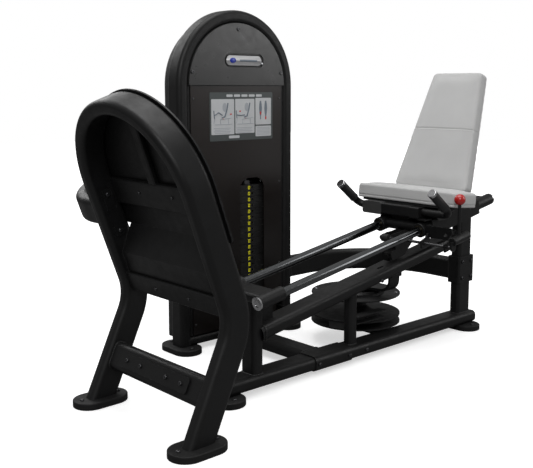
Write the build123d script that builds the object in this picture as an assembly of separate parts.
from build123d import *
import math
import os

# Leg press machine with a weight tower.  Millimetres, +Z up, floor at Z = 0.
# +X runs from the footplate end to the seat end.  +Y runs from the centre plane
# of the main frame (Y = 0) to the weight tower, on the right of the seated user.
# "Front" is the footplate end (-X) on the main frame and the -Y face on the tower.

# ---------------------------------------------------------------- driving dimensions
TUBE_W, TUBE_T, TUBE_R, WALL = 100.0, 52.0, 19.0, 3.5   # main oval tube
BASE_Z = 50.0                 # base tube axis height
BASE_X0, BASE_X1 = 232, 1812  # ends of the base tube
FOOT_H = 24.0                 # rubber foot height
FRONT_X, MID_X, REAR_X = 457.0, 991.0, 1752.0   # posts

RAIL_DEG = 10.0               # slope of the guide rods and the rail beam
ROD_D = 36.0                  # guide rod diameter
ROD_Y = 111.0                 # guide rod offset from the centre plane
ROD_Z0 = 300.7                # rod axis height extrapolated to X = 0
BEAM_Z0 = 142.5               # rail beam axis height extrapolated to X = 0

ARCH_HALF = 290.0             # arch centreline half width
LEAN_UP, LEAN_LOW = 20.0, 24.5   # lean of the arch and of its lower legs, degrees
KNEE_X, KNEE_Z, KNEE_R = 151.0, 383.0, 190.0    # corner point and bend radius
ARCH_TOP = 447.0              # centre of the top bend above the knee, along the arch

TOWER_X, TOWER_Y = 851.0, 584.0
TOWER_HALF, TOWER_D, TOWER_T = 294.0, 84.0, 54.0   # axis half width, tube depth, thickness
TOWER_SPRING = 1135.0         # height where the tower's top bend begins
TOWER_X0, TOWER_X1 = TOWER_X - TOWER_HALF, TOWER_X + TOWER_HALF
TOWER_FRONT = TOWER_Y - TOWER_D / 2
OPENING = TOWER_HALF - TOWER_T / 2   # inner half width of the tower

STACK_X, STACK_Y0 = 948.0, 568.0     # weight stack centre X, front face Y
PLATE_W, PLATE_D, PLATE_T, PITCH = 262.0, 104.0, 25.4, 27.0
PLATE_N, LIFT_N = 21, 17      # plates in the stack, plates lifted by the pin
STACK_Z0 = 128.0              # underside of the lowest plate
STACK_Y = STACK_Y0 + PLATE_D / 2
STACK_TOP = STACK_Z0 + PLATE_N * PITCH
DRUM_X, DRUM_Y = 1238.0, 197.0       # axis of the cable drums
SEAT_TILT, BACK_LEAN = 6.0, 20.8     # degrees

X_DIR, Y_DIR, Z_DIR = Vector(1, 0, 0), Vector(0, 1, 0), Vector(0, 0, 1)
SIDES = (-1, 1)

os.makedirs("parts", exist_ok=True)


# ---------------------------------------------------------------- helpers
def save(name, shape, cutters=()):
    """Cut the shape, drop slivers and write its solids to one STEP file."""
    for cutter in cutters:
        shape = shape - cutter
    solids = [s for s in shape.solids() if s.volume > 1.0]
    shape = solids[0] if len(solids) == 1 else Compound(children=solids)
    export_step(shape, f"parts/{name}.step")


def group(*shapes):
    return Compound(children=list(shapes))


def fuse(shapes):
    result = shapes[0]
    for shape in shapes[1:]:
        result = result + shape
    return result


def tube_section(width, thick, radius, wall=0.0):
    """Rounded section, solid when wall is 0."""
    section = RectangleRounded(width, thick, radius)
    if wall:
        section = section - RectangleRounded(width - 2 * wall, thick - 2 * wall, radius - wall)
    return section


def tube(start, end, wide_dir, width=TUBE_W, thick=TUBE_T, radius=TUBE_R, wall=0.0):
    """Straight tube with its wide side along wide_dir."""
    start = Vector(start)
    span = Vector(end) - start
    plane = Plane(origin=start, x_dir=Vector(wide_dir), z_dir=span.normalized())
    return extrude(plane * tube_section(width, thick, radius, wall), span.length)


def tube_pair(*args):
    """The same tube as a solid cutter and as a hollow tube."""
    return tube(*args), tube(*args, wall=WALL)


def rod(start, end, diameter, bore=0.0):
    start = Vector(start)
    span = Vector(end) - start
    section = Circle(diameter / 2)
    if bore:
        section = section - Circle(bore / 2)
    return extrude(Plane(origin=start, z_dir=span.normalized()) * section, span.length)


def stepped_rod(center, direction, steps):
    """Coaxial rods; steps are (start, end, diameter) along direction."""
    center = Vector(center)
    return fuse([rod(center + direction * a, center + direction * b, d) for a, b, d in steps])


def box(x0, x1, y0, y1, z0, z1):
    center = Pos((x0 + x1) / 2, (y0 + y1) / 2, (z0 + z1) / 2)
    return center * Box(x1 - x0, y1 - y0, z1 - z0)


def rounded_box(axis, radius, *extents):
    """Box with its edges along axis rounded."""
    return fillet(box(*extents).edges().filter_by(axis), radius)


def round_rims(shape, radius):
    return fillet(shape.edges().filter_by(GeomType.CIRCLE), radius)


def polygon(points):
    return make_face(Polyline(*points, close=True))


def plate_xz(sketch, y, depth, x=0, z=0):
    """Sketch drawn in X and Z, extruded from y towards -Y."""
    plane = Plane(origin=(x, y, z), x_dir=(1, 0, 0), z_dir=(0, -1, 0))
    return extrude(plane * sketch, depth)


def arch_face(half, bottom, spring):
    """Upright outline with a semicircular top that begins at spring."""
    return make_face([
        Edge.make_line((-half, bottom), (half, bottom)),
        Edge.make_line((half, bottom), (half, spring)),
        Edge.make_three_point_arc((half, spring), (0, spring + half), (-half, spring)),
        Edge.make_line((-half, spring), (-half, bottom)),
    ])


def sweep_edge(edge, section, **x_dir):
    plane = Plane(origin=edge @ 0, z_dir=edge % 0, **x_dir)
    return sweep(plane * section, path=Wire([edge]))


def bolt(seat, axis, head=16.0, height=7.0):
    """Button head with a hexagon socket, standing on seat along axis."""
    seat, axis = Vector(seat), Vector(axis).normalized()
    shape = extrude(Plane(origin=seat, z_dir=axis) * Circle(head / 2), height)
    rims = shape.edges().filter_by(GeomType.CIRCLE)
    top_rim = rims.sort_by(lambda e: (e.center() - seat).dot(axis))[-1]
    shape = fillet(top_rim, height * 0.45)
    socket = Plane(origin=seat + axis * (height + 0.01), z_dir=axis * -1)
    return shape - extrude(socket * RegularPolygon(head * 0.24, 6), height * 0.5)


# ---------------------------------------------------------------- rail coordinates
RAIL_ANGLE = math.radians(RAIL_DEG)
RAIL_TAN = math.tan(RAIL_ANGLE)
RAIL_DIR = Vector(math.cos(RAIL_ANGLE), 0, math.sin(RAIL_ANGLE))
RAIL_NORMAL = Vector(-math.sin(RAIL_ANGLE), 0, math.cos(RAIL_ANGLE))


def rail(x, y=0.0, lift=0.0, along=0.0):
    """Point on the rod axis line at x, moved lift square to the rods and along up the slope."""
    return Vector(x, y, ROD_Z0 + x * RAIL_TAN) + RAIL_DIR * along + RAIL_NORMAL * lift


def rail_rod(x, y, a0, a1, diameter, bore=0.0):
    """Rod on a guide rod axis from a0 to a1 along the slope."""
    return rod(rail(x, y, 0, a0), rail(x, y, 0, a1), diameter, bore)


# ================================================================= main frame
POST_Z0 = BASE_Z + TUBE_T / 2
base_ends = ((BASE_X0, 0, BASE_Z), (BASE_X1, 0, BASE_Z))
base_solid, base = tube_pair(*base_ends, Y_DIR)
rear_solid, rear_post = tube_pair((REAR_X, 0, POST_Z0), (REAR_X, 0, 590), X_DIR)
front_solid, front_post = tube_pair((FRONT_X, 0, POST_Z0), (FRONT_X, 0, 372), Y_DIR, 76, 52, 16)
mid_solid, mid_post = tube_pair((MID_X, 0, POST_Z0), (MID_X, 0, 330), X_DIR, 50, 42, 16)

beam_ends = [(x, 0, BEAM_Z0 + x * RAIL_TAN) for x in (470.0, 1715.0)]
beam_solid, beam = tube_pair(*beam_ends, Y_DIR)
# slot in the top wall of the beam
beam = beam - (Plane(origin=(1160, -12, 340), z_dir=(0, 0, 1)) * extrude(SlotOverall(38, 13), 60))

# crossheads: flat cross tube with a round rod holder at each end
FRONT_HEAD_X, REAR_HEAD_X = 447.0, 1742.0
HOLDER_HALF, HOLDER_D = 57.0, 52.0


def crosshead(x):
    """Crosshead as a solid cutter and with its rod bores."""
    center = rail(x)
    solid = tube(center - Y_DIR * ROD_Y, center + Y_DIR * ROD_Y, RAIL_DIR, 88, 40, 16)
    for side in SIDES:
        solid = solid + rail_rod(x, side * ROD_Y, -HOLDER_HALF, HOLDER_HALF, HOLDER_D)
    bored = solid
    for side in SIDES:
        bored = bored - rail_rod(x, side * ROD_Y, -200, 200, ROD_D)
    return solid, bored


front_head_solid, front_head = crosshead(FRONT_HEAD_X)
rear_head_solid, rear_head = crosshead(REAR_HEAD_X)
save("crossheads", group(front_head, rear_head))

ROD_INSET = HOLDER_HALF - 4          # rod end inside its holder
save("guide_rods", group(*[
    rod(rail(FRONT_HEAD_X, side * ROD_Y, 0, -ROD_INSET),
        rail(REAR_HEAD_X, side * ROD_Y, 0, ROD_INSET), ROD_D) for side in SIDES]))

rod_caps = []
for side in SIDES:
    for x, end in ((FRONT_HEAD_X, -1), (REAR_HEAD_X, 1)):
        y = side * ROD_Y
        plug = rail_rod(x, y, end * ROD_INSET, end * (HOLDER_HALF + 5), ROD_D)
        rim = rail_rod(x, y, end * HOLDER_HALF, end * (HOLDER_HALF + 7), HOLDER_D - 2, ROD_D - 10)
        rod_caps.append(plug + rim)
save("rod_end_caps", group(*rod_caps))

save("rear_post", rear_post, [rear_head_solid])
save("rail_beam", beam, [front_solid, rear_solid])

# gusset between the front post, the rail beam and the front crosshead, (x, z)
GUSSET = [(FRONT_X + 20, 200), (FRONT_X + 100, 230), (FRONT_X + 98, 322),
          (FRONT_X + 40, 392), (FRONT_X + 20, 392)]
gusset = plate_xz(polygon(GUSSET), 4, 8)
front_post = front_post - front_head_solid
gusset = gusset - beam_solid - front_head_solid - front_solid
save("frame_posts", group(front_post + gusset, mid_post - beam_solid))

for x in (BASE_X0, BASE_X1 - 4):     # end walls of the base tube
    base = base + tube((x, 0, BASE_Z), (x + 4, 0, BASE_Z), Y_DIR)
save("base_tube", base)

# sleeve round the base tube, and the floor cross tube from it to the tower
SLEEVE_X0, SLEEVE_X1 = 742, 950
SLEEVE_GROWTH = 9                    # sleeve section over tube section
sleeve_solid = tube((SLEEVE_X0, 0, BASE_Z), (SLEEVE_X1, 0, BASE_Z), Y_DIR,
                    TUBE_W + SLEEVE_GROWTH, TUBE_T + SLEEVE_GROWTH, TUBE_R + 4)
sleeve = sleeve_solid - base_solid

FLOOR_TUBE_X = 812.0
floor_tube_solid, floor_tube = tube_pair(
    (FLOOR_TUBE_X, 40, BASE_Z), (FLOOR_TUBE_X, TOWER_Y - 43, BASE_Z), X_DIR)
save("floor_cross_tube", floor_tube, [sleeve_solid])

# ================================================================= arch
lean_up, lean_low = math.radians(LEAN_UP), math.radians(LEAN_LOW)
ARCH_UP = Vector(-math.sin(lean_up), 0, math.cos(lean_up))
ARCH_NORMAL = Vector(math.cos(lean_up), 0, math.sin(lean_up))       # towards the user
LEG_DOWN = Vector(-math.sin(lean_low), 0, -math.cos(lean_low))
LEG_NORMAL = Vector(math.cos(lean_low), 0, -math.sin(lean_low))     # towards the user
KNEE_TURN = LEAN_UP + LEAN_LOW
KNEE_TANGENT = KNEE_R * math.tan(math.radians(KNEE_TURN / 2))
ARCH_INNER = ARCH_HALF - TUBE_T / 2


def arch_pt(y, up, out=0.0):
    """Point up the arch from the knee, out towards the user."""
    return Vector(KNEE_X, y, KNEE_Z) + ARCH_UP * up + ARCH_NORMAL * out


def leg_pt(y, down, out=0.0):
    """Point down the lower leg from the knee."""
    return Vector(KNEE_X, y, KNEE_Z) + LEG_DOWN * down + LEG_NORMAL * out


def arch(wall):
    section = tube_section(TUBE_W, TUBE_T, TUBE_R, wall)
    parts = []
    for side in SIDES:
        knee = Vector(KNEE_X, side * ARCH_HALF, KNEE_Z)
        bend_start = knee + LEG_DOWN * KNEE_TANGENT
        foot = knee + LEG_DOWN * ((KNEE_Z - FOOT_H + 40) / math.cos(lean_low))
        lower = tube(foot, bend_start, LEG_NORMAL, wall=wall)
        lower = lower - box(-600, 600, -600, 600, -200, FOOT_H)   # flat on the rubber foot
        upper = tube(knee + ARCH_UP * KNEE_TANGENT, knee + ARCH_UP * ARCH_TOP, ARCH_NORMAL,
                     wall=wall)
        plane = Plane(origin=bend_start, x_dir=LEG_NORMAL, z_dir=LEG_DOWN * -1)
        bend_axis = Axis(bend_start - LEG_NORMAL * KNEE_R, (0, -1, 0))
        parts += [lower, revolve(plane * section, bend_axis, KNEE_TURN), upper]
    plane = Plane(origin=arch_pt(-ARCH_HALF, ARCH_TOP), x_dir=ARCH_NORMAL, z_dir=ARCH_UP)
    parts.append(revolve(plane * section, Axis(arch_pt(0, ARCH_TOP), ARCH_NORMAL * -1), 180))
    return fuse(parts)


arch_solid = arch(0)
save("arch_tube", arch(WALL))


def frame_box(normal, run, y0, y1, run0, run1, out0, out1, radius, round_dir=Y_DIR):
    """Box from the knee along run and out along normal, edges along round_dir rounded."""
    plane = Plane(origin=(KNEE_X, 0, KNEE_Z), x_dir=normal, z_dir=run)
    center = Pos((out0 + out1) / 2, (y0 + y1) / 2, (run0 + run1) / 2)
    shape = plane * (center * Box(out1 - out0, y1 - y0, run1 - run0))
    edges = [e for e in shape.edges() if abs(e.tangent_at(0.5).dot(round_dir)) > 0.99]
    return fillet(edges, radius)


def arch_box(*args):
    return frame_box(ARCH_NORMAL, ARCH_UP, *args)


FACE_OUT = TUBE_W / 2                # user-side face of the arch tube
REACH = ARCH_INNER + 8               # half length of the cross pieces, ends inside the arch
upper_brace = arch_box(-REACH, REACH, 350, 445, 30, FACE_OUT, 7)
lower_brace = arch_box(-REACH, REACH, 28, 101, -31, -19, 5)
spine = arch_box(-20, 20, 445, 720, 29, FACE_OUT, 7, ARCH_UP)
save("arch_braces", group((upper_brace + spine) - arch_solid, lower_brace - arch_solid))

CROSS_DOWN = 241.0                   # cross member below the knee, along the legs
save("low_cross_member",
     tube(leg_pt(-REACH, CROSS_DOWN, -5), leg_pt(REACH, CROSS_DOWN, -5), LEG_DOWN, wall=WALL),
     [arch_solid])
save("bolt_plates", group(
    frame_box(LEG_NORMAL, LEG_DOWN, -195, 195, CROSS_DOWN - 27, CROSS_DOWN + 27, -37, -31,
              10, LEG_NORMAL),
    arch_box(ARCH_INNER - 5, ARCH_INNER, 237, 415, -18, 20, 8),
    arch_box(-ARCH_INNER, -ARCH_INNER + 5, 237, 415, -18, 20, 8)))

# footplate: flat shield on the arch above, folded step between the legs below
SHEET_T = 6.0
SHIELD_HALF = ARCH_HALF + TUBE_T / 2 + 3
SHIELD_LOW = 262.0                   # lower edge of the shield above the knee
SHEET_OUT = FACE_OUT + SHEET_T
# fold section, (out, up)
FOLD = [(SHEET_OUT, 300), (FACE_OUT, 300), (FACE_OUT, SHIELD_LOW), (-19, 179),
        (-19, 22), (-13, 22), (-13, 176), (SHEET_OUT, 259)]
STEP_TREAD = [(-13, 30), (-8, 30), (-8, 160), (-13, 160)]


def shield(half, low, out, thick, corner):
    face = arch_face(half, low, ARCH_TOP)
    face = fillet(face.vertices().sort_by(lambda v: v.Y)[:2], corner)
    return extrude(Plane(origin=arch_pt(0, 0, out), x_dir=(0, 1, 0), z_dir=ARCH_NORMAL) * face,
                   thick)


def fold_strip(section, half):
    plane = Plane(origin=arch_pt(0, 0), x_dir=ARCH_NORMAL, z_dir=(0, -1, 0))
    return extrude(plane * polygon(section), half, both=True)


save("footplate", shield(SHIELD_HALF, SHIELD_LOW, FACE_OUT, SHEET_T, 18)
     + fold_strip(FOLD, ARCH_INNER - 6))
save("footplate_treads", group(shield(SHIELD_HALF - 14, SHIELD_LOW + 14, SHEET_OUT, 5, 14),
                               fold_strip(STEP_TREAD, ARCH_INNER - 22)))

# ================================================================= tower frame
def tower(wall):
    section = tube_section(TOWER_D, TOWER_T, TUBE_R, wall)
    legs = [tube((x, TOWER_Y, FOOT_H), (x, TOWER_Y, TOWER_SPRING), Y_DIR, TOWER_D, TOWER_T,
                 TUBE_R, wall=wall) for x in (TOWER_X0, TOWER_X1)]
    plane = Plane(origin=(TOWER_X0, TOWER_Y, TOWER_SPRING), x_dir=(0, 1, 0), z_dir=(0, 0, 1))
    bend_axis = Axis((TOWER_X, TOWER_Y, TOWER_SPRING), (0, 1, 0))
    return fuse(legs + [revolve(plane * section, bend_axis, 180)])


tower_solid = tower(0)

# ================================================================= link tubes
def link_tube(start, y_start, run_dir, wide_dir, radius, y_end, x_end):
    """Tube along +Y from y_start, bent to run_dir at y_end and ending at x_end."""
    bend_start = start + Y_DIR * (y_end - radius)
    center = bend_start + run_dir * radius
    bend_end = center + Y_DIR * radius
    far_end = bend_end + run_dir * ((x_end - bend_end.X) / run_dir.X)
    plane = Plane(origin=bend_start, x_dir=wide_dir, z_dir=(0, 1, 0))
    section = tube_section(TUBE_W, TUBE_T, TUBE_R, WALL)
    return (tube(start + Y_DIR * y_start, bend_start, wide_dir, wall=WALL)
            + revolve(plane * section, Axis(center, Y_DIR.cross(run_dir)), 90)
            + tube(bend_end, far_end, wide_dir, wall=WALL))


# the front link lies square to the leaning arch, so its run rises towards the tower
front_link = link_tube(arch_pt(0, 323.0), ARCH_HALF - 10, ARCH_NORMAL, ARCH_UP, 180.0,
                       TOWER_Y, TOWER_X0 + 20)
rear_link = link_tube(Vector(1724.0, 0, 284.0), 0, Vector(-1, 0, 0), Z_DIR, 430.0,
                      TOWER_Y - 8, TOWER_X1)
CLAMP_Y = TUBE_T / 2 + 8
clamp_solid = rounded_box(Axis.Z, 12, REAR_X - 59, REAR_X + 59, -CLAMP_Y, CLAMP_Y, 222, 346)
save("link_tubes", group(front_link - arch_solid - tower_solid,
                         rear_link - clamp_solid - rear_solid - tower_solid))
save("clamp_sleeves", group(clamp_solid - rear_solid - base_solid, sleeve))

# ================================================================= tower panels
EXIT_X, EXIT_Z = TOWER_X + OPENING - 20, 112.0      # cable exit, lower +X corner
exit_notch = box(EXIT_X - 22, EXIT_X + 60, TOWER_FRONT - 20, TOWER_FRONT + 30,
                 EXIT_Z - 22, EXIT_Z + 22)
panel_flange = plate_xz(
    arch_face(OPENING, 64, TOWER_SPRING) - arch_face(OPENING - 26, 96, TOWER_SPRING),
    TOWER_FRONT + 15, 4, x=TOWER_X)
save("tower_frame", tower(WALL) + (panel_flange - exit_notch - tower_solid))

# cap in the arched top, with a recess round the badge
BADGE_X, BADGE_Z, BADGE_W, BADGE_H = TOWER_X + 33.0, 1242.0, 212.0, 54.0
cap_half, cap_z = OPENING - 1, TOWER_SPRING + 1
cap_face = make_face([
    Edge.make_line((-cap_half, cap_z), (cap_half, cap_z)),
    Edge.make_three_point_arc((cap_half, cap_z), (0, TOWER_SPRING + cap_half),
                              (-cap_half, cap_z)),
])
top_cap = plate_xz(cap_face, TOWER_FRONT + 11, 11, x=TOWER_X)
top_cap = top_cap - plate_xz(SlotOverall(BADGE_W + 8, BADGE_H + 8), TOWER_FRONT + 4, 20,
                             x=BADGE_X, z=BADGE_Z)
save("tower_top_cap", top_cap)

SLOT_X, SLOT_W, SLOT_Z0, SLOT_Z1 = 931.0, 140.0, 100.0, 728.0    # opening in the front panel
PANEL = [(-255, 66), (255, 66), (255, TOWER_SPRING - 1), (-255, TOWER_SPRING - 1)]
panel = plate_xz(polygon(PANEL), TOWER_FRONT + 11, 4, x=TOWER_X)
panel_slot = rounded_box(Axis.Y, 52, SLOT_X - SLOT_W / 2, SLOT_X + SLOT_W / 2,
                         TOWER_FRONT - 30, TOWER_FRONT + 30, SLOT_Z0, SLOT_Z1)
save("tower_front_panel", panel, [panel_slot, exit_notch])

badge = plate_xz(SlotOverall(BADGE_W, BADGE_H), TOWER_FRONT + 4, 3, x=BADGE_X, z=BADGE_Z)
placard = plate_xz(RectangleRounded(358, 208, 6), TOWER_FRONT + 7, 1.5, x=TOWER_X + 22, z=1002)
save("tower_plates", group(badge, placard))

# rear shroud: shallow tub behind the stack
SHROUD_Y0, SHROUD_Y1, SHROUD_HALF = TOWER_Y + TOWER_D / 2, 706.0, 286.0
SHROUD_T = 4


def shroud_block(inset, depth, radius):
    back_y = SHROUD_Y1 - inset
    face = arch_face(SHROUD_HALF - inset, 44 + inset, TOWER_SPRING)
    block = plate_xz(face, back_y, depth, x=TOWER_X)
    return fillet(block.edges().filter_by(lambda e: abs(e.center().Y - back_y) < 0.01), radius)


shroud_depth = SHROUD_Y1 - SHROUD_Y0
save("tower_back_cover", shroud_block(0, shroud_depth, 24),
     [shroud_block(SHROUD_T, shroud_depth + 10, 20)])

# ================================================================= weight stack
GUIDE_X, GUIDE_D = 95.0, 25          # guide rod offset from the stack centre, diameter
BASE_PLATE_Z0, BASE_PLATE_Z1 = 60, 72
base_plate = box(STACK_X - 128, STACK_X + 134, STACK_Y - 56, STACK_Y + 60,
                 BASE_PLATE_Z0, BASE_PLATE_Z1)
base_cross = tube((TOWER_X0, TOWER_Y, 42), (TOWER_X1, TOWER_Y, 42), Y_DIR, TOWER_D, 36, 14,
                  wall=WALL)
save("tower_base", base_cross + base_plate, [tower_solid, floor_tube_solid])


def stack_rods(z0, z1, diameter, bore=0.0):
    """Pair of vertical rods on the guide rod axes."""
    return [rod((STACK_X + side * GUIDE_X, STACK_Y, z0), (STACK_X + side * GUIDE_X, STACK_Y, z1),
                diameter, bore) for side in SIDES]


save("stack_guide_rods", group(*stack_rods(BASE_PLATE_Z1, 1090, GUIDE_D)))
save("stack_bumpers", group(*stack_rods(BASE_PLATE_Z1, STACK_Z0, 58, GUIDE_D + 0.2)))

PINNED = PLATE_N - LIFT_N            # index of the lowest lifted plate
STEM_D, STEM_BORE = 24.0, 12.0
PIN_D = 10
PIN_BORE = PIN_D + 0.1


def stack_plate(i):
    z = STACK_Z0 + i * PITCH
    mid_z = z + PLATE_T / 2
    plate = rounded_box(Axis.Z, 10, STACK_X - PLATE_W / 2, STACK_X + PLATE_W / 2,
                        STACK_Y0, STACK_Y0 + PLATE_D, z, z + PLATE_T)
    if i < PLATE_N - 1:              # spacer pads keep the plates apart
        for pad in stack_rods(z + PLATE_T, z + PITCH, 44):
            plate = plate + pad
    for hole in stack_rods(z - 1, z + 40, GUIDE_D + 0.1):
        plate = plate - hole
    plate = plate - rod((STACK_X, STACK_Y, z - 1), (STACK_X, STACK_Y, z + 40), STEM_D + 0.1)
    return plate - rod((STACK_X, STACK_Y0 - 1, mid_z), (STACK_X, STACK_Y, mid_z), PIN_BORE)


save("rest_plates", group(*[stack_plate(i) for i in range(PINNED)]))
save("lifted_plates", group(*[stack_plate(i) for i in range(PINNED, PLATE_N)]))

stem = rod((STACK_X, STACK_Y, STACK_Z0 + 6), (STACK_X, STACK_Y, STACK_TOP + 52),
           STEM_D, STEM_BORE)
stem = stem + rod((STACK_X, STACK_Y, STACK_TOP - (PITCH - PLATE_T)),
                  (STACK_X, STACK_Y, STACK_TOP + 16), 60, STEM_D)
for i in range(PLATE_N - 1):
    z = STACK_Z0 + i * PITCH + PLATE_T / 2
    stem = stem - rod((STACK_X, STACK_Y - 30, z), (STACK_X, STACK_Y, z), PIN_BORE)
save("selector_stem", stem)

pin_z = STACK_Z0 + PINNED * PITCH + PLATE_T / 2
pin = rod((STACK_X, STACK_Y0 - 4, pin_z), (STACK_X, STACK_Y - 4, pin_z), PIN_D)
pin_knob = rod((STACK_X, STACK_Y0 - 3, pin_z), (STACK_X, STACK_Y0 - 15, pin_z), 26)
save("selector_pin", pin + round_rims(pin_knob, 3))

# ================================================================= pulleys
CABLE_D = 6.0
TOP_R, FLOOR_R = 75.0, 29.0          # cable centre line radii
TOP_X, TOP_Z = STACK_X + TOP_R, 1206.0
DOWN_X = STACK_X + 2 * TOP_R         # falling leg of the cable
top_center = Vector(TOP_X, STACK_Y, TOP_Z)
floor_center = Vector(DOWN_X, STACK_Y - FLOOR_R, EXIT_Z + FLOOR_R)
TOP_AXLE_D, FLOOR_AXLE_D = 16, 12

crossbar = tube((TOWER_X0 + 14, STACK_Y, 1105), (TOWER_X1 - 14, STACK_Y, 1105), Y_DIR,
                48, 30, 8, wall=3)
cable_holes = [rod((x, STACK_Y, 1080), (x, STACK_Y, 1130), 14) for x in (STACK_X, DOWN_X)]
save("top_crossbar", crossbar, [tower_solid] + cable_holes)


def pulley(center, axis, cable_r, width, bore, rim, web_hub=0):
    """Grooved pulley; a web_hub radius gives it dished webs."""
    plane = Plane(origin=center, z_dir=axis)
    outer = cable_r + rim
    wheel = round_rims(extrude(plane * Circle(outer), width / 2, both=True), 1.2)
    # V groove with a flat bottom that clears the cable
    groove = polygon([(cable_r - 4.2, 3.8), (outer + 2, 6.2),
                      (outer + 2, -6.2), (cable_r - 4.2, -3.8)])
    groove_plane = Plane(origin=center, x_dir=plane.x_dir, z_dir=plane.y_dir)
    wheel = wheel - revolve(groove_plane * groove, Axis(center, plane.z_dir), 360)
    if web_hub:
        recess = Circle(cable_r - 14) - Circle(web_hub)
        for side in SIDES:
            recess_plane = Plane(origin=center + plane.z_dir * (side * 3.0),
                                 z_dir=plane.z_dir * side)
            wheel = wheel - extrude(recess_plane * recess, width / 2)
    return wheel - extrude(plane * Circle(bore / 2), width / 2 + 5, both=True)


save("top_pulley", pulley(top_center, Y_DIR, TOP_R, 16, TOP_AXLE_D + 0.1, 6.0, web_hub=24.0))
save("floor_pulley", pulley(floor_center, X_DIR, FLOOR_R, 14, FLOOR_AXLE_D + 0.1, 5))

CHEEK = [(TOP_X - 34, 1120), (TOP_X + 34, 1120),
         (TOP_X + 20, TOP_Z + 18), (TOP_X - 20, TOP_Z + 18)]    # (x, z)
top_cheeks = []
for y in (STACK_Y - 14, STACK_Y + 10):
    hole = rod((TOP_X, y - 2, TOP_Z), (TOP_X, y + 6, TOP_Z), TOP_AXLE_D)
    top_cheeks.append(plate_xz(polygon(CHEEK), y + 4, 4) - hole)
floor_cheeks = fuse([
    box(x, x + 4, floor_center.Y - 20, floor_center.Y + 20, BASE_PLATE_Z0, floor_center.Z + 18)
    for x in (DOWN_X - 12, DOWN_X + 8)])
floor_cheeks = floor_cheeks - rod(floor_center - X_DIR * 30, floor_center + X_DIR * 30,
                                  FLOOR_AXLE_D) - base_plate
save("pulley_brackets", group(*top_cheeks, *floor_cheeks.solids()))
save("pulley_axles", group(
    stepped_rod(top_center, Y_DIR, [(-14, 14, TOP_AXLE_D), (-20, -14, 26), (14, 20, 26)]),
    stepped_rod(floor_center, X_DIR, [(-12, 12, FLOOR_AXLE_D), (-17, -12, 20), (12, 15, 20)])))

# ================================================================= lifting cable
DRUM_CABLE_R = 118.0                 # cable radius on the lower drum
drum_distance = math.hypot(DOWN_X - DRUM_X, floor_center.Y - DRUM_Y)
# tangent point on the -X side of the drum
tangent_angle = (math.atan2(floor_center.Y - DRUM_Y, DOWN_X - DRUM_X)
                 + math.acos(DRUM_CABLE_R / drum_distance))


def drum_xy(radius, angle):
    return DRUM_X + radius * math.cos(angle), DRUM_Y + radius * math.sin(angle)


wrap = [(*drum_xy(DRUM_CABLE_R, tangent_angle + math.radians(turn)), EXIT_Z)
        for turn in (0, 100, 200)]
diagonal = math.sqrt(0.5) * FLOOR_R
top_start, top_end = (STACK_X, STACK_Y, TOP_Z), (DOWN_X, STACK_Y, TOP_Z)
floor_start = (DOWN_X, STACK_Y, floor_center.Z)
floor_end = (DOWN_X, floor_center.Y, EXIT_Z)
floor_mid = (DOWN_X, floor_center.Y + diagonal, floor_center.Z - diagonal)
cable_path = [
    Edge.make_line((STACK_X, STACK_Y, STACK_TOP + 26), top_start),
    Edge.make_three_point_arc(top_start, (TOP_X, STACK_Y, TOP_Z + TOP_R), top_end),
    Edge.make_line(top_end, floor_start),
    Edge.make_three_point_arc(floor_start, floor_mid, floor_end),
    Edge.make_line(floor_end, wrap[0]),
    Edge.make_three_point_arc(*wrap),
]
cable = fuse([sweep_edge(edge, Circle(CABLE_D / 2)) for edge in cable_path])
for corner in (floor_end, wrap[0]):  # fill the small kinks in the path
    cable = cable + Pos(*corner) * Sphere(CABLE_D / 2)
save("lifting_cable", cable)

# ================================================================= cable drums
SHAFT_D = 30.0
FLANGE_R = 198
HUB_R = 36.0


def disc(z0, z1, radius, bore=0):
    """Disc on the drum axis; bore is a diameter."""
    return rod((DRUM_X, DRUM_Y, z0), (DRUM_X, DRUM_Y, z1), 2 * radius, bore)


upper = disc(216, 223, FLANGE_R)
flange_rims = upper.edges().filter_by(GeomType.CIRCLE)
upper = fillet(flange_rims.filter_by(lambda e: abs(e.radius - FLANGE_R) < 0.1), 2.5)
# raised ring on top, (radius, z)
RING = [(112, 222), (128, 222), (126, 232), (119, 240), (112, 240)]
ring_plane = Plane(origin=(DRUM_X, DRUM_Y, 0), x_dir=(1, 0, 0), z_dir=(0, -1, 0))
upper = upper + revolve(ring_plane * polygon(RING), Axis((DRUM_X, DRUM_Y, 0), (0, 0, 1)), 360)
upper = upper + disc(204, 216, 108) + disc(222, 240, 44)
for i in range(5):                   # ribs from the hub to the ring
    angle = math.radians(72 * i + 20)
    rib_plane = Plane(origin=(DRUM_X, DRUM_Y, 222),
                      x_dir=(math.cos(angle), math.sin(angle), 0), z_dir=(0, 0, 1))
    upper = upper + rib_plane * (Pos(78, 0, 7.5) * Box(76, 10, 15))
save("upper_drum", upper, [disc(190, 320, SHAFT_D / 2 + 0.05)])

lower = (disc(92, 98, FLANGE_R) + disc(126, 132, FLANGE_R)
         + disc(98, 126, DRUM_CABLE_R - 3.3) + disc(132, 203.6, HUB_R))
save("lower_drum", lower, [disc(80, 220, SHAFT_D / 2 + 0.05)])

# wedge between the flanges of the lower drum
wedge_dir = Vector(-194, -62, 0).normalized()
wedge_plane = Plane(origin=Vector(DRUM_X, DRUM_Y, 98) + wedge_dir * 182, x_dir=wedge_dir,
                    z_dir=(0, 0, 1))
save("drum_wedge", extrude(wedge_plane * RectangleRounded(24, 74, 6), 28))

drum_bolts = []
for i in range(4):
    angle = math.radians(90 * i + 35)
    drum_bolts.append(bolt((*drum_xy(92, angle), 204), (0, 0, -1), 18, 8))
    drum_bolts.append(bolt((*drum_xy(180, angle), 223), (0, 0, 1), 14, 5))
save("drum_bolts", group(*drum_bolts))

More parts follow.
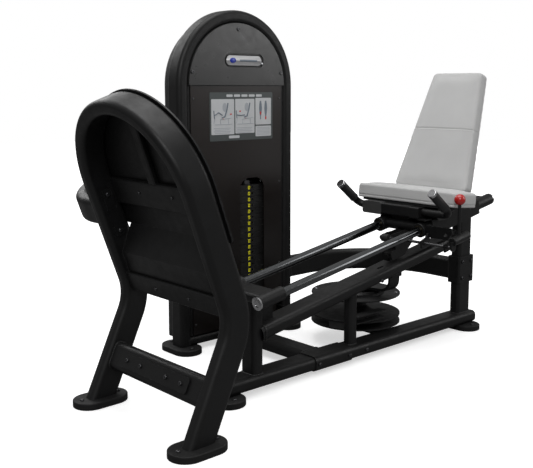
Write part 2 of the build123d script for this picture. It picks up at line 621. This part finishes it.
# top arm: strap down from the rail beam, bent level and tapered to the shaft
ARM_X, ARM_HALF, ARM_T, ARM_Z = DRUM_X + 27, 31, 12, 246
arm_path = [
    Edge.make_line((ARM_X, 0, 360), (ARM_X, 0, 302)),
    Edge.make_three_point_arc((ARM_X, 0, 302), (ARM_X, 14.6, 266.6), (ARM_X, 50, 252)),
]
ARM_TAPER = [(ARM_X - ARM_HALF, 49.9), (ARM_X + ARM_HALF, 49.9),
             (DRUM_X + 36, DRUM_Y - 20), (DRUM_X - 36, DRUM_Y - 20)]    # (x, y)
top_arm = fuse([sweep_edge(e, Rectangle(2 * ARM_HALF, ARM_T), x_dir=(1, 0, 0))
                for e in arm_path])
top_arm = top_arm + extrude(Plane(origin=(0, 0, ARM_Z), z_dir=(0, 0, 1)) * polygon(ARM_TAPER),
                            ARM_T)
top_arm = top_arm + disc(ARM_Z, ARM_Z + ARM_T, 42)
top_arm = top_arm + box(ARM_X - ARM_HALF, ARM_X + ARM_HALF, -18, 18, 318, 372)
top_arm = top_arm - beam_solid - disc(240, 270, SHAFT_D / 2)

# middle arm: channel from the middle post to a ring round the lower drum's hub
CHANNEL_Z0, CHANNEL_Z1 = 154.0, 186.0
TONGUE = [(DRUM_X - 150, 16), (DRUM_X - 46, 16),
          (DRUM_X + 30, DRUM_Y - 30), (DRUM_X - 30, DRUM_Y - 20)]       # (x, y)
channel = (box(MID_X + 20, DRUM_X - 46, -20, 20, CHANNEL_Z0, CHANNEL_Z1)
           - box(MID_X + 10, DRUM_X - 40, -30, 16, CHANNEL_Z0 + 4, CHANNEL_Z1 - 4))
tongue = extrude(Plane(origin=(0, 0, CHANNEL_Z0), z_dir=(0, 0, 1)) * polygon(TONGUE), 8)
mid_arm = (channel + tongue + disc(CHANNEL_Z0, CHANNEL_Z1, HUB_R + 14)
           - disc(140, 200, HUB_R + 0.05))

# foot arm: plate from the base tube under the shaft
foot_arm = rounded_box(Axis.Z, 14, DRUM_X - 50, DRUM_X + 50, 36, DRUM_Y + 50, 64, 76)
foot_arm = foot_arm + disc(76, 84, 36, SHAFT_D) - base_solid - disc(50, 90, SHAFT_D / 2)
save("drum_brackets", group(top_arm, mid_arm - mid_solid, foot_arm))
save("drum_shaft", group(disc(77, 266, SHAFT_D / 2), disc(84.3, 91.6, 28, SHAFT_D),
                         disc(240.4, 245.6, 28, SHAFT_D), disc(258, 266, 26, SHAFT_D)))

# ================================================================= carriage
CARRIAGE_X = 1330.0                  # front bearing housings, carriage at rest
WHEELBASE = 316.0                    # spacing of the bearing pairs along the rails
HOUSING_D, BUSH_D, HOUSING_HALF = 62.0, 46.0, 42
RUNNING_GAP = 0.05                   # radial, bush to guide rod


def rail_box(y0, y1, a0, a1, lift0, lift1):
    """Box aligned to the rails at the carriage: a along, lift square to them."""
    plane = Plane(origin=rail(CARRIAGE_X), x_dir=RAIL_DIR, z_dir=RAIL_NORMAL)
    center = Pos((a0 + a1) / 2, (y0 + y1) / 2, (lift0 + lift1) / 2)
    return plane * (center * Box(a1 - a0, y1 - y0, lift1 - lift0))


def rail_plate(points, y0, y1):
    """Plate cut to points (along, lift) at the carriage, between y0 and y1."""
    plane = Plane(origin=rail(CARRIAGE_X, y1), x_dir=RAIL_DIR, z_dir=(0, -1, 0))
    return extrude(plane * polygon(points), y1 - y0)


housings, bushings, solid_housings = [], [], []
for along in (0.0, WHEELBASE):
    for side in SIDES:
        y = side * ROD_Y
        a0, a1 = along - HOUSING_HALF, along + HOUSING_HALF
        housing = round_rims(rail_rod(CARRIAGE_X, y, a0, a1, HOUSING_D), 3)
        solid_housings.append(housing)
        housings.append(housing - rail_rod(CARRIAGE_X, y, along - 60, along + 60, BUSH_D))
        bushings.append(rail_rod(CARRIAGE_X, y, a0, a1, BUSH_D, ROD_D + 2 * RUNNING_GAP))
housing_solid = fuse(solid_housings)
save("bearing_housings", group(*housings))
save("slide_bushings", group(*bushings))

# frame between the bearings, with a side plate outboard of each rod
DECK_TOP = 21
SIDE_PLATES = {                      # (along, lift) outlines by side
    -1: [(12, 33), (352, 33), (352, -30), (150, -34), (16, -34), (12, -30)],
    1: [(12, 30), (352, 30), (352, -24), (12, -24)],
}
frame = fuse([rod(rail(CARRIAGE_X, -ROD_Y, 0, along), rail(CARRIAGE_X, ROD_Y, 0, along), 46)
              for along in (0.0, WHEELBASE)])
for side in SIDES:
    frame = frame + rail_box(side * 74 - 17, side * 74 + 17, 0, WHEELBASE, -16, DECK_TOP)
frame = frame + rail_box(-58, 58, 0, WHEELBASE, 14, DECK_TOP)      # deck plate
for side in SIDES:
    frame = frame + rail_plate(SIDE_PLATES[side], *sorted((side * 136, side * 144)))
    for along in (0.0, WHEELBASE):   # stub between housing and side plate
        frame = frame + rod(rail(CARRIAGE_X, side * 130, 0, along),
                            rail(CARRIAGE_X, side * 140, 0, along), 40)

# crossbeam under the seat, with its front beam, lug, angle and pedestal
BEAM_X, BEAM_HALF = 1378.0, 34
BEAM_BOTTOM, BEAM_TOP, BEAM_Y0, BEAM_Y1 = 571.0, 621, -160, 102
crossbeam = rounded_box(Axis.Y, 12, BEAM_X - BEAM_HALF, BEAM_X + BEAM_HALF,
                        BEAM_Y0, BEAM_Y1, BEAM_BOTTOM, BEAM_TOP)
front_beam = rounded_box(Axis.Y, 9, 1294, BEAM_X, -58, BEAM_Y1, 576, 626)
pedestal = box(1335, 1405, -18, 77, 553, 580)
lug = rounded_box(Axis.Y, 6, 1286, BEAM_X - 20, -107, -58, 575, 624)
angle_strip = box(1290, 1340, -140, -107, 571, 577) + box(1290, 1340, -107, -100, 571, 590)

# handle bar: held in the crossbeam, bent up and forward at both ends
BAR_X, BAR_Z, BAR_HALF, BAR_BEND_R, BAR_D = 1321.0, 603.0, 250.0, 40.0, 32.0
BAR_LEN = 164                        # bar end beyond the corner, along the grip
GRIP_START, GRIP_END, GRIP_D = 52.0, 160.0, 38
grip_dir = Vector(-130, 0, 103).normalized()
handle = rod((BAR_X, -BAR_HALF + BAR_BEND_R, BAR_Z), (BAR_X, BAR_HALF - BAR_BEND_R, BAR_Z), BAR_D)
grips, grip_caps = [], []
for side in SIDES:
    corner = Vector(BAR_X, side * BAR_HALF, BAR_Z)
    bend_start = corner - Vector(0, side * BAR_BEND_R, 0)
    bend_end = corner + grip_dir * BAR_BEND_R
    center = bend_start + grip_dir * BAR_BEND_R
    bend_mid = center + (corner - center).normalized() * BAR_BEND_R
    bend = Edge.make_three_point_arc(bend_start, bend_mid, bend_end)
    handle = handle + sweep_edge(bend, Circle(BAR_D / 2))
    handle = handle + rod(bend_end, corner + grip_dir * BAR_LEN, BAR_D)
    grip = rod(corner + grip_dir * GRIP_START, corner + grip_dir * GRIP_END, GRIP_D)
    grips.append(round_rims(grip, 2.5)
                 - rod(corner + grip_dir * 40, corner + grip_dir * 170, BAR_D))
    cap = (rod(corner + grip_dir * BAR_LEN, corner + grip_dir * (BAR_LEN + 7), GRIP_D)
           + rod(corner + grip_dir * GRIP_END, corner + grip_dir * BAR_LEN, GRIP_D, BAR_D))
    cap_rims = cap.edges().filter_by(GeomType.CIRCLE)
    grip_caps.append(fillet(cap_rims.sort_by(lambda e: e.center().dot(grip_dir))[-1], 2.5))
save("handle_grips", group(*grips))
save("grip_end_caps", group(*grip_caps))
crossbeam = crossbeam + front_beam + lug + angle_strip + pedestal - handle - housing_solid
frame = frame - housing_solid


# ================================================================= seat and backrest
def prism(plane, outline, start, end, corner):
    """Outline with rounded corners, extruded from start to end above plane."""
    face = fillet(polygon(outline).vertices(), corner)
    return extrude(plane.offset(start) * face, end - start)


# seat plane: origin at the front top edge, x rearward, z up out of the pad
seat_angle = math.radians(SEAT_TILT)
seat_plane = Plane(origin=(1325.0, 0, 699.0),
                   x_dir=(math.cos(seat_angle), 0, -math.sin(seat_angle)),
                   z_dir=(math.sin(seat_angle), 0, math.cos(seat_angle)))
SEAT_BOARD = [(12, -252), (172, -236), (172, 236), (12, 252)]
SEAT_PAD = [(0, -274), (176, -256), (176, 256), (0, 274)]
seat_board = prism(seat_plane, SEAT_BOARD, -72, -62, 18)
seat_pad = prism(seat_plane, SEAT_PAD, -62, 0, 18)
top_edges = seat_pad.edges().sort_by(lambda e: e.center().dot(seat_plane.z_dir))[-8:]
seat_pad = fillet(top_edges, 10)
save("seat_pad", seat_pad)
crossbeam = crossbeam - seat_board

# backrest plane: x along Y, y up the back, z rearward into the pad
back_angle = math.radians(BACK_LEAN)
back_plane = Plane(origin=(1493.0, 0, 690.0), x_dir=(0, 1, 0),
                   z_dir=(math.cos(back_angle), 0, -math.sin(back_angle)))
BACK_LEN = 540.0


def back_prism(half_low, half_high, low, high, start, end, corner):
    outline = [(-half_low, low), (half_low, low), (half_high, high), (-half_high, high)]
    return prism(back_plane, outline, start, end, corner)


def back_pt(up, depth):
    return back_plane.origin + back_plane.y_dir * up + back_plane.z_dir * depth


back_pad = back_prism(199, 131, -6, BACK_LEN, 0, 50, 17)
face_edges = back_pad.edges().sort_by(lambda e: e.center().dot(back_plane.z_dir))[:8]
save("backrest_pad", fillet(face_edges, 9))
save("pad_boards", group(seat_board, back_prism(184, 114, 16, BACK_LEN - 16, 50, 60, 22)))

upright_solid, upright = tube_pair(back_pt(-110, 80), back_pt(380, 80), Y_DIR, 96, 40, 14)
back_mount = back_prism(60, 60, 200, 372, 60, 66, 8)
below_deck = rail_box(-70, 70, -20, WHEELBASE + 60, -140, DECK_TOP)
save("backrest_upright", (upright + (back_mount - upright_solid)) - below_deck,
     [seat_board, seat_pad, frame])
crossbeam = crossbeam - frame
save("carriage_frame", frame + crossbeam)

end_caps = []
for blank in (
        rounded_box(Axis.X, 11, 1290, BEAM_X + 36, BEAM_Y1, 209, 574, 628),
        rounded_box(Axis.Y, 12, BEAM_X - BEAM_HALF, BEAM_X + BEAM_HALF,
                    BEAM_Y0 - 6, BEAM_Y0, BEAM_BOTTOM, BEAM_TOP)):
    blank = blank - crossbeam - frame - handle - seat_board - seat_pad
    end_caps.append(max(blank.solids(), key=lambda s: s.volume))
save("crossbeam_end_caps", group(*end_caps))
save("handle_bar", handle, [frame, seat_board])

# ================================================================= start-position latch
SHAFT_A, SHAFT_LIFT = -63.65, -43.0  # release shaft, rail coordinates
RELEASE_D = 12
release = rail(CARRIAGE_X, 0, SHAFT_LIFT, SHAFT_A)
roller = rail(CARRIAGE_X, 0, -21.0, -126.0)
ROLLER_BORE = 10
release_hole = rod(release - Y_DIR * 340, release + Y_DIR * 340, RELEASE_D + 0.1)

LATCH_CHEEK = [                      # (along, lift)
    (20, -12), (22, -62), (11, -80), (-20, -100), (-45, -118), (-128, -118), (-136, -84),
    (-100, -80), (-100, -50), (-132, -34), (-140, -22), (-132, -9), (-92, -8), (-60, -12)]
cheeks = [rail_plate(LATCH_CHEEK, *sorted((side * 18, side * 24))) for side in SIDES]
latch_block = (rail_box(-18, 18, -134, -48, -122, -86)
               + rod(rail(CARRIAGE_X, 0, -103, -141), rail(CARRIAGE_X, 0, -103, -134), 26))
save("latch_housing", cheeks[0] + cheeks[1] + latch_block,
     [frame, release_hole, rod(roller - Y_DIR * 40, roller + Y_DIR * 40, ROLLER_BORE)])
save("latch_roller", rod(roller - Y_DIR * 17, roller + Y_DIR * 17, 34, ROLLER_BORE + 0.1))
save("roller_axle", stepped_rod(roller, Y_DIR, [(-27, 27, ROLLER_BORE), (-30, -24, 18),
                                                (24, 30, 18)]))

LEVER_Y = -297.0
PAWL = [(SHAFT_A - 13, SHAFT_LIFT + 13), (SHAFT_A + 13, SHAFT_LIFT + 13), (SHAFT_A + 15, -82),
        (SHAFT_A - 4, -84), (SHAFT_A - 13, -66)]                   # (along, lift)
release_x, release_z = release.X, release.Z
shaft_end = (release_x, LEVER_Y + 2, release_z)
save("latch_shaft", rod(shaft_end, (release_x, 30, release_z), RELEASE_D)
     + rail_plate(PAWL, -7, 7))

# release lever: arm parallel to the rails, crank to the shaft, upright with a ball knob
arm_start = Vector(release_x - 6, LEVER_Y, release_z + 24)
lever = round_rims(rod(arm_start, arm_start + RAIL_DIR * 106, 36), 3)
crank = rod((release_x, LEVER_Y - 5, release_z), (release_x, LEVER_Y + 5, release_z), 30)
web = box(release_x - 15, release_x + 15, LEVER_Y - 5, LEVER_Y + 5, release_z, release_z + 24)
UPRIGHT_TOP, UPRIGHT_D = 655, 14
upright_x = arm_start.X + 44
upright_z = arm_start.Z + 44 * RAIL_TAN
lever_upright = rod((upright_x, LEVER_Y, upright_z), (upright_x, LEVER_Y, UPRIGHT_TOP), UPRIGHT_D)
save("lever_arm", lever + crank + web + lever_upright,
     [rod(shaft_end, (release_x, 40, release_z), RELEASE_D)])

ball = Pos(upright_x, LEVER_Y, 676) * Sphere(23)
save("ball_knob", ball, [
    rod((upright_x, LEVER_Y, 640), (upright_x, LEVER_Y, UPRIGHT_TOP), UPRIGHT_D),
    box(upright_x - 30, upright_x + 30, LEVER_Y - 30, LEVER_Y + 30, 600, UPRIGHT_TOP)])

# bracket: upright plate on the carriage with two ears on the release shaft
EAR = [(-81, -30), (-47, -24), (-31, -8), (-22.6, -8),
       (-22.6, -28), (-31, -60), (-81, -62)]                       # (along, lift)
bracket = rail_box(-270, -136, -30.6, -22.6, -28, 24)
bracket = bracket - rod(rail(CARRIAGE_X, -240, -8, -60), rail(CARRIAGE_X, -240, -8, 0), 16)
ears = fuse([rail_plate(EAR, y, y + 8) for y in (-270, -152)]) - release_hole
save("lever_bracket", bracket + ears, [frame, housing_solid])

# ================================================================= feet and fasteners
FOOT_LEN, FOOT_W, FOOT_BOLT = 206.0, 124.0, 74     # slot size, bolt offset from centre
FEET = [                             # x, y, turn in degrees
    (-16, -ARCH_HALF, 0), (-16, ARCH_HALF, 0), (311, 0, 90), (1752, 0, 90),
    (TOWER_X0, TOWER_Y, 90), (TOWER_X1, TOWER_Y, 90)]


def foot(x, y, turn):
    shape = extrude(Pos(x, y, 0) * Rot(0, 0, turn) * SlotOverall(FOOT_LEN, FOOT_W), FOOT_H)
    shape = fillet(shape.edges().filter_by(lambda e: abs(e.center().Z) < 0.01), 2)
    return fillet(shape.edges().filter_by(lambda e: abs(e.center().Z - FOOT_H) < 0.01), 4)


save("rubber_feet", group(*[foot(*place) for place in FEET]))

fasteners = []


def add_bolts(points, axis, head, height):
    fasteners.extend(bolt(point, axis, head, height) for point in points)


for x, y, turn in FEET:
    step = Y_DIR if turn else X_DIR
    add_bolts([Vector(x, y, FOOT_H) + step * (FOOT_BOLT * side) for side in SIDES], Z_DIR, 15, 6)

NEAR = Y_DIR * -1                    # heads facing away from the tower
# tower top cap, then front panel (no screw beside the cable exit)
add_bolts([(TOWER_X, TOWER_FRONT, TOWER_SPRING + 240),
           (TOWER_X - 249, TOWER_FRONT, TOWER_SPRING + 56),
           (TOWER_X + 249, TOWER_FRONT, TOWER_SPRING + 56)], NEAR, 16, 5)
for z in (1080, 700, 320, 110):
    offsets = (-243, 243) if z > 150 else (-243,)
    add_bolts([(TOWER_X + dx, TOWER_FRONT + 7, z) for dx in offsets], NEAR, 10, 3)
# cross member plate
add_bolts([leg_pt(y, CROSS_DOWN, -37) for y in (-158, -75, 75, 158)], LEG_NORMAL * -1, 15, 6)
for y in (-95, 95):                  # upper and lower arch braces
    add_bolts([arch_pt(y, 405, 30), arch_pt(y, 64, -31)], ARCH_NORMAL * -1, 12, 4)
for up in (256, 396):                # bolt plates on the inner sides of the arch
    for side in (1, -1):
        add_bolts([arch_pt(side * (ARCH_INNER - 5), up, 1)], Y_DIR * -side, 16, 7)
# rear post clamp
add_bolts([(x, -CLAMP_Y, z) for z in (246, 322) for x in (REAR_X - 34, REAR_X + 34)], NEAR, 16, 7)
# near sides of the rail beam, the base tube and its sleeve
add_bolts([(1129, -TUBE_W / 2, 327), (1040, -TUBE_W / 2, BASE_Z)], NEAR, 15, 6)
add_bolts([(x, -(TUBE_W + SLEEVE_GROWTH) / 2, BASE_Z) for x in (SLEEVE_X0 + 18, SLEEVE_X1 - 18)],
          NEAR, 15, 6)
save("frame_bolts", group(*fasteners))
